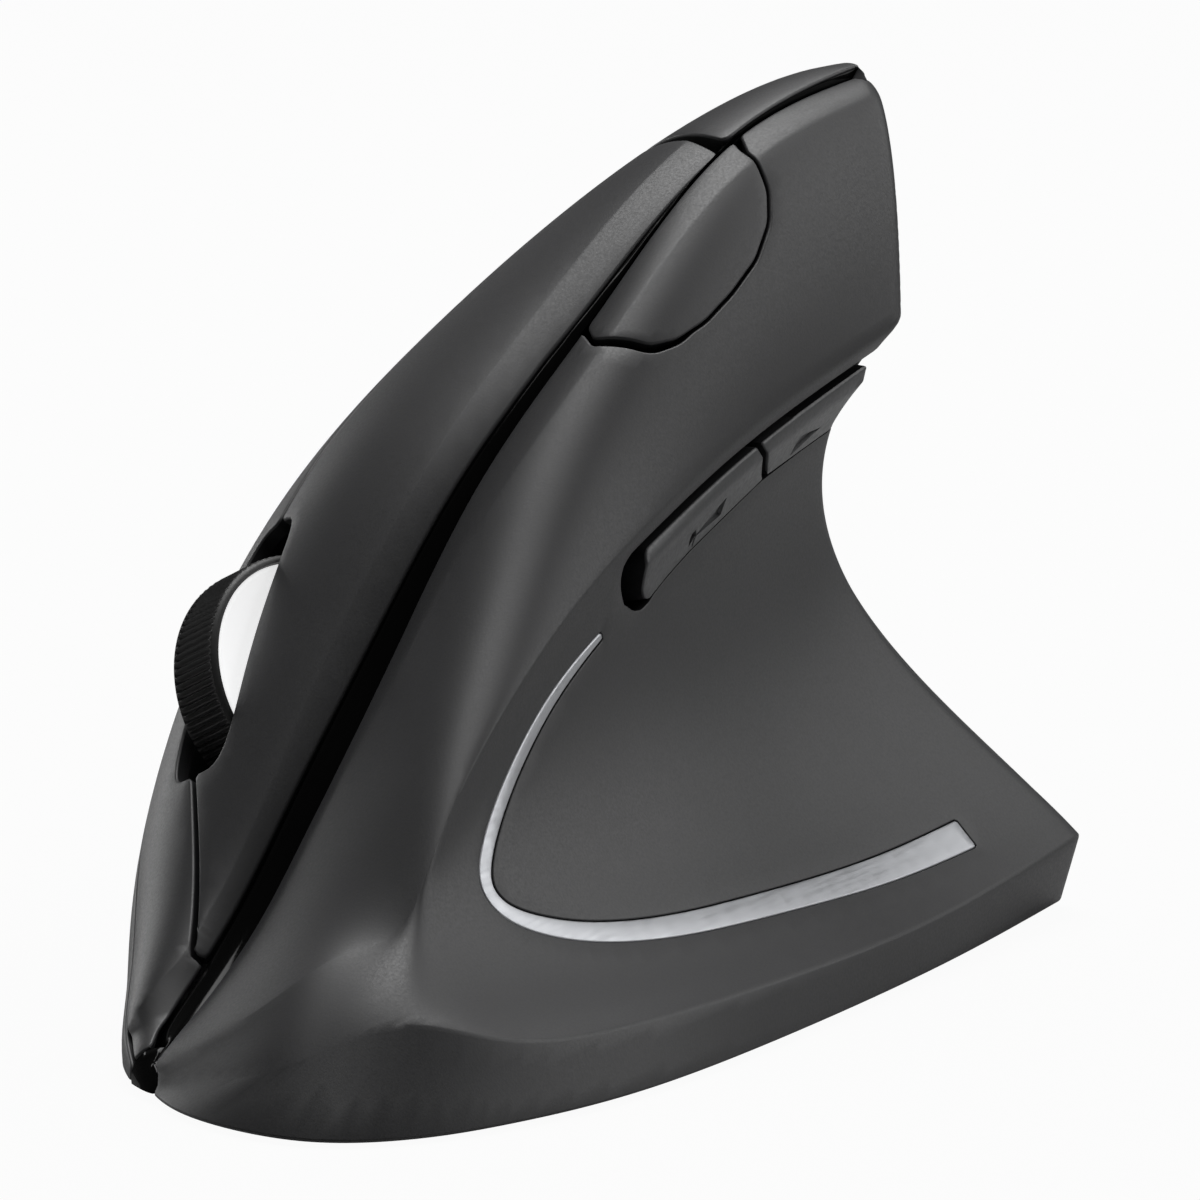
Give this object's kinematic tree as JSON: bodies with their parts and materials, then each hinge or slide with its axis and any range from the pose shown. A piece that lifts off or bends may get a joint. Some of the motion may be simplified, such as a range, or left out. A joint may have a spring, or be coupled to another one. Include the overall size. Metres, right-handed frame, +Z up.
{
  "type": "vertical ergonomic mouse",
  "caption": "Wireless vertical mouse for the right hand: tall slanted shell with thumb scoop, main buttons, scroll wheel, thumb buttons and speed button.",
  "frame": {"origin": "middle of the bounding box on the desk plane, under the glide feet", "axes": "+Z up, -Y to the front (the nose), +X to the thumb side, -X to the finger side"},
  "size_m": [0.0624, 0.118, 0.0751],
  "materials": {
    "soft_charcoal": "soft-touch matte",
    "black_plastic": "fine matte",
    "gloss_black": "high gloss",
    "silver_trim": "satin silver paint",
    "hub_white": "satin white",
    "wheel_rubber": "ribbed rubber",
    "steel": "bright",
    "contact_brass": "plated",
    "foot_plastic": "slick low-friction pad",
    "clear_lens": "clear",
    "board_green": "solder mask",
    "switch_black": "moulded",
    "plunger_red": "moulded",
    "ribbon_white": "flat cable",
    "cell_wrap": "printed-free wrap"
  },
  "bodies": {
    "housing": {"base_plate": "black_plastic", "glide_feet": "foot_plastic", "base_screws": "steel", "thumb_shell": "soft_charcoal", "palm_shell": "soft_charcoal", "spine_strip": "gloss_black", "silver_accent": "silver_trim", "nose_cap": "black_plastic", "wheel_guide": "black_plastic", "inner_frame": "black_plastic", "button_frame": "black_plastic", "finger_board": "board_green", "thumb_board": "board_green", "dpi_board": "board_green", "main_board": "board_green", "left_switch": "switch_black", "right_switch": "switch_black", "wheel_switch": "switch_black", "forward_switch": "switch_black", "back_switch": "switch_black", "dpi_switch": "switch_black", "optical_sensor": "switch_black", "sensor_lens": "clear_lens", "processor_chip": "switch_black", "finger_ribbon": "ribbon_white", "thumb_ribbon": "ribbon_white", "battery_box": "black_plastic", "battery_cells": "cell_wrap", "battery_contacts": "contact_brass", "power_switch": "switch_black"},
    "left_button": {"left_button": "soft_charcoal"},
    "right_button": {"right_button": "soft_charcoal"},
    "dpi_button": {"dpi_button": "soft_charcoal"},
    "forward_button": {"forward_button": "black_plastic"},
    "back_button": {"back_button": "black_plastic"},
    "wheel_carrier": {"wheel_carrier": "black_plastic", "scroll_encoder": "switch_black"},
    "wheel": {"wheel_tyre": "wheel_rubber", "wheel_rim": "hub_white", "wheel_axle": "steel"},
    "battery_door": {"battery_door": "black_plastic"},
    "usb_receiver": {"usb_receiver": "black_plastic"},
    "power_knob": {"power_knob": "black_plastic"},
    "left_plunger": {"left_plunger": "plunger_red"},
    "right_plunger": {"right_plunger": "plunger_red"},
    "wheel_plunger": {"wheel_plunger": "plunger_red"},
    "forward_plunger": {"forward_plunger": "plunger_red"},
    "back_plunger": {"back_plunger": "plunger_red"},
    "dpi_plunger": {"dpi_plunger": "plunger_red"}
  },
  "joints": [
    {"name": "left_click", "type": "hinge", "parent": "housing", "child": "left_button", "pos_m": [-0.00129, 0.03239, 0.06664], "axis": [0.8172, -0.4329, 0.3806], "range_deg": [0, 0.45], "stiffness_Nm_per_rad": 2.5},
    {"name": "right_click", "type": "hinge", "parent": "housing", "child": "right_button", "pos_m": [-0.01446, 0.04049, 0.05129], "axis": [0.8172, -0.4329, 0.3806], "range_deg": [0, 0.36], "stiffness_Nm_per_rad": 2.5},
    {"name": "wheel_click", "type": "slide", "parent": "housing", "child": "wheel_carrier", "axis": [0.519, 0.6262, -0.5818], "range_m": [0, 0.0005], "stiffness_N_per_m": 1400},
    {"name": "wheel_spin", "type": "hinge", "parent": "wheel_carrier", "child": "wheel", "pos_m": [-0.01447, -0.00968, 0.02724], "axis": [0.8496, -0.3027, 0.432], "continuous": true},
    {"name": "dpi_press", "type": "slide", "parent": "housing", "child": "dpi_button", "axis": [-0.5421, 0.487, -0.6848], "range_m": [0, 0.0003], "stiffness_N_per_m": 1200},
    {"name": "forward_press", "type": "slide", "parent": "housing", "child": "forward_button", "axis": [-1, 0, 0], "range_m": [0, 0.0005], "stiffness_N_per_m": 1200},
    {"name": "back_press", "type": "slide", "parent": "housing", "child": "back_button", "axis": [-1, 0, 0], "range_m": [0, 0.0005], "stiffness_N_per_m": 1200},
    {"name": "left_plunger_slide", "type": "slide", "parent": "housing", "child": "left_plunger", "axis": [0.519, 0.6262, -0.5818], "range_m": [0, 0.0006]},
    {"name": "right_plunger_slide", "type": "slide", "parent": "housing", "child": "right_plunger", "axis": [0.519, 0.6262, -0.5818], "range_m": [0, 0.0006]},
    {"name": "wheel_plunger_slide", "type": "slide", "parent": "housing", "child": "wheel_plunger", "axis": [0.519, 0.6262, -0.5818], "range_m": [0, 0.0006]},
    {"name": "dpi_plunger_slide", "type": "slide", "parent": "housing", "child": "dpi_plunger", "axis": [-0.5421, 0.487, -0.6848], "range_m": [0, 0.0006]},
    {"name": "forward_plunger_slide", "type": "slide", "parent": "housing", "child": "forward_plunger", "axis": [-1, 0, 0], "range_m": [0, 0.0006]},
    {"name": "back_plunger_slide", "type": "slide", "parent": "housing", "child": "back_plunger", "axis": [-1, 0, 0], "range_m": [0, 0.0006]},
    {"name": "power_slide", "type": "slide", "parent": "housing", "child": "power_knob", "axis": [1, 0, 0], "range_m": [0, 0.0025]},
    {"name": "door_slide", "type": "slide", "parent": "housing", "child": "battery_door", "axis": [0, 1, 0], "range_m": [0, 0.004]},
    {"name": "receiver_pull", "type": "slide", "parent": "housing", "child": "usb_receiver", "axis": [0, 0, -1], "range_m": [0, 0.008]}
  ],
  "couplings": [
    {"joint": "left_plunger_slide", "follows": "left_click", "m_per_rad": 0.04476},
    {"joint": "right_plunger_slide", "follows": "right_click", "m_per_rad": 0.040645},
    {"joint": "wheel_plunger_slide", "follows": "wheel_click", "ratio": 1},
    {"joint": "dpi_plunger_slide", "follows": "dpi_press", "ratio": 1},
    {"joint": "forward_plunger_slide", "follows": "forward_press", "ratio": 1},
    {"joint": "back_plunger_slide", "follows": "back_press", "ratio": 1}
  ]
}
